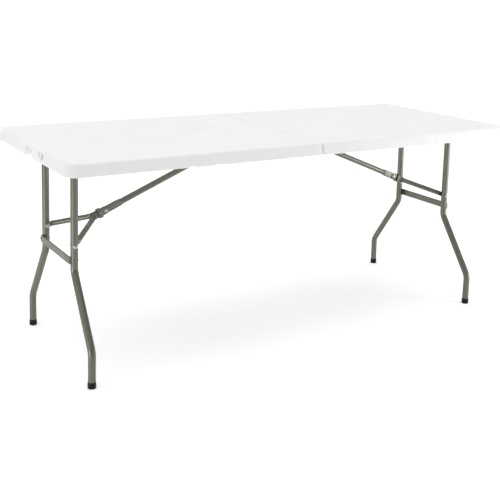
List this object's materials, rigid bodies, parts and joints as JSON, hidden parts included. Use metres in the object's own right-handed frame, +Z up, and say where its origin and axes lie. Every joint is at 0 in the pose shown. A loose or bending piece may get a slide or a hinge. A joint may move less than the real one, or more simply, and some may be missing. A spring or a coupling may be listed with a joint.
{
  "type": "folding table",
  "caption": "Rectangular folding table with a white moulded top that folds in half, steel leg frames that fold under it, and Y braces with sliding lock rings.",
  "frame": {"origin": "on the floor under the middle of the table", "axes": "+X along the length towards the half without the latch, +Y away from the side with the handle, +Z up"},
  "size_m": [1.829, 0.762, 0.755],
  "materials": {
    "moulded_top": "fine pebble texture",
    "powder_coat": "satin powder coat",
    "zinc_hardware": "bright zinc plate",
    "foot_cap": "matte",
    "white_trim": "satin",
    "dark_nylon": "satin"
  },
  "bodies": {
    "left_half": {"left_top": "moulded_top", "left_front_rail": "powder_coat", "left_rear_rail": "powder_coat", "left_rail_screws": "zinc_hardware", "left_pivot_bushes": "dark_nylon", "left_brace_bracket": "powder_coat", "left_bracket_screws": "zinc_hardware", "left_brace_pin": "zinc_hardware", "left_hinge_leaves": "powder_coat", "left_leaf_screws": "zinc_hardware", "hinge_pins": "zinc_hardware", "handle_clips": "dark_nylon"},
    "left_leg_frame": {"left_cross_tube": "powder_coat", "left_pivot_pins": "zinc_hardware", "left_front_leg": "powder_coat", "left_rear_leg": "powder_coat", "left_crossbar": "powder_coat", "left_crossbar_rivets": "powder_coat", "left_leg_bolts": "zinc_hardware", "left_front_foot": "foot_cap", "left_rear_foot": "foot_cap"},
    "left_brace_arm": {"left_upper_arm": "powder_coat", "left_knee_rivet": "zinc_hardware"},
    "left_brace_links": {"left_front_link": "powder_coat", "left_rear_link": "powder_coat", "left_link_nuts": "zinc_hardware"},
    "left_ring": {"left_lock_ring": "powder_coat"},
    "right_half": {"right_top": "moulded_top", "right_front_rail": "powder_coat", "right_rear_rail": "powder_coat", "right_rail_screws": "zinc_hardware", "right_pivot_bushes": "dark_nylon", "right_brace_bracket": "powder_coat", "right_bracket_screws": "zinc_hardware", "right_brace_pin": "zinc_hardware", "right_hinge_leaves": "powder_coat", "right_leaf_screws": "zinc_hardware", "latch_keeper": "zinc_hardware"},
    "right_leg_frame": {"right_cross_tube": "powder_coat", "right_pivot_pins": "zinc_hardware", "right_front_leg": "powder_coat", "right_rear_leg": "powder_coat", "right_crossbar": "powder_coat", "right_crossbar_rivets": "powder_coat", "right_leg_bolts": "zinc_hardware", "right_front_foot": "foot_cap", "right_rear_foot": "foot_cap"},
    "right_brace_arm": {"right_upper_arm": "powder_coat", "right_knee_rivet": "zinc_hardware"},
    "right_brace_links": {"right_front_link": "powder_coat", "right_rear_link": "powder_coat", "right_link_nuts": "zinc_hardware"},
    "right_ring": {"right_lock_ring": "powder_coat"},
    "handle": {"carry_handle": "dark_nylon"},
    "latch": {"latch_knob": "white_trim", "latch_hook": "zinc_hardware"}
  },
  "joints": [
    {"name": "centre_fold", "type": "hinge", "parent": "left_half", "child": "right_half", "pos_m": [0, 0, 0.7082], "axis": [0, 1, 0], "range_deg": [0, 90]},
    {"name": "left_leg_fold", "type": "hinge", "parent": "left_half", "child": "left_leg_frame", "pos_m": [-0.81, 0, 0.7275], "axis": [0, -1, 0], "range_deg": [0, 88.6]},
    {"name": "right_leg_fold", "type": "hinge", "parent": "right_half", "child": "right_leg_frame", "pos_m": [0.81, 0, 0.7275], "axis": [0, 1, 0], "range_deg": [0, 88.6]},
    {"name": "left_arm_swing", "type": "hinge", "parent": "left_half", "child": "left_brace_arm", "pos_m": [-0.1, 0, 0.7275], "axis": [0, 1, 0], "range_deg": [0, 22.3]},
    {"name": "left_knee_fold", "type": "hinge", "parent": "left_brace_arm", "child": "left_brace_links", "pos_m": [-0.65106, 0, 0.50167], "axis": [0, -1, 0], "range_deg": [0, 180.01]},
    {"name": "left_ring_slide", "type": "slide", "parent": "left_brace_arm", "child": "left_ring", "axis": [0.9253, 0, 0.3792], "range_m": [0, 0.3101]},
    {"name": "right_arm_swing", "type": "hinge", "parent": "right_half", "child": "right_brace_arm", "pos_m": [0.1, 0, 0.7275], "axis": [0, -1, 0], "range_deg": [0, 22.3]},
    {"name": "right_knee_fold", "type": "hinge", "parent": "right_brace_arm", "child": "right_brace_links", "pos_m": [0.65106, 0, 0.50167], "axis": [0, 1, 0], "range_deg": [0, 180.01]},
    {"name": "right_ring_slide", "type": "slide", "parent": "right_brace_arm", "child": "right_ring", "axis": [-0.9253, 0, 0.3792], "range_m": [0, 0.3101]},
    {"name": "handle_swing", "type": "hinge", "parent": "left_half", "child": "handle", "pos_m": [-0.45725, -0.349, 0.7146], "axis": [-1, 0, 0], "range_deg": [0, 180]},
    {"name": "latch_turn", "type": "hinge", "parent": "left_half", "child": "latch", "pos_m": [-0.8885, -0.118, 0.734], "axis": [-1, 0, 0], "range_deg": [0, 90]}
  ],
  "couplings": [
    {"joint": "left_arm_swing", "follows": "left_leg_fold", "ratio": 0.25152},
    {"joint": "left_knee_fold", "follows": "left_leg_fold", "ratio": 2.0316},
    {"joint": "left_ring_slide", "follows": "left_leg_fold", "m_per_rad": 0.20047},
    {"joint": "right_arm_swing", "follows": "right_leg_fold", "ratio": 0.25152},
    {"joint": "right_knee_fold", "follows": "right_leg_fold", "ratio": 2.0316},
    {"joint": "right_ring_slide", "follows": "right_leg_fold", "m_per_rad": 0.20047}
  ]
}
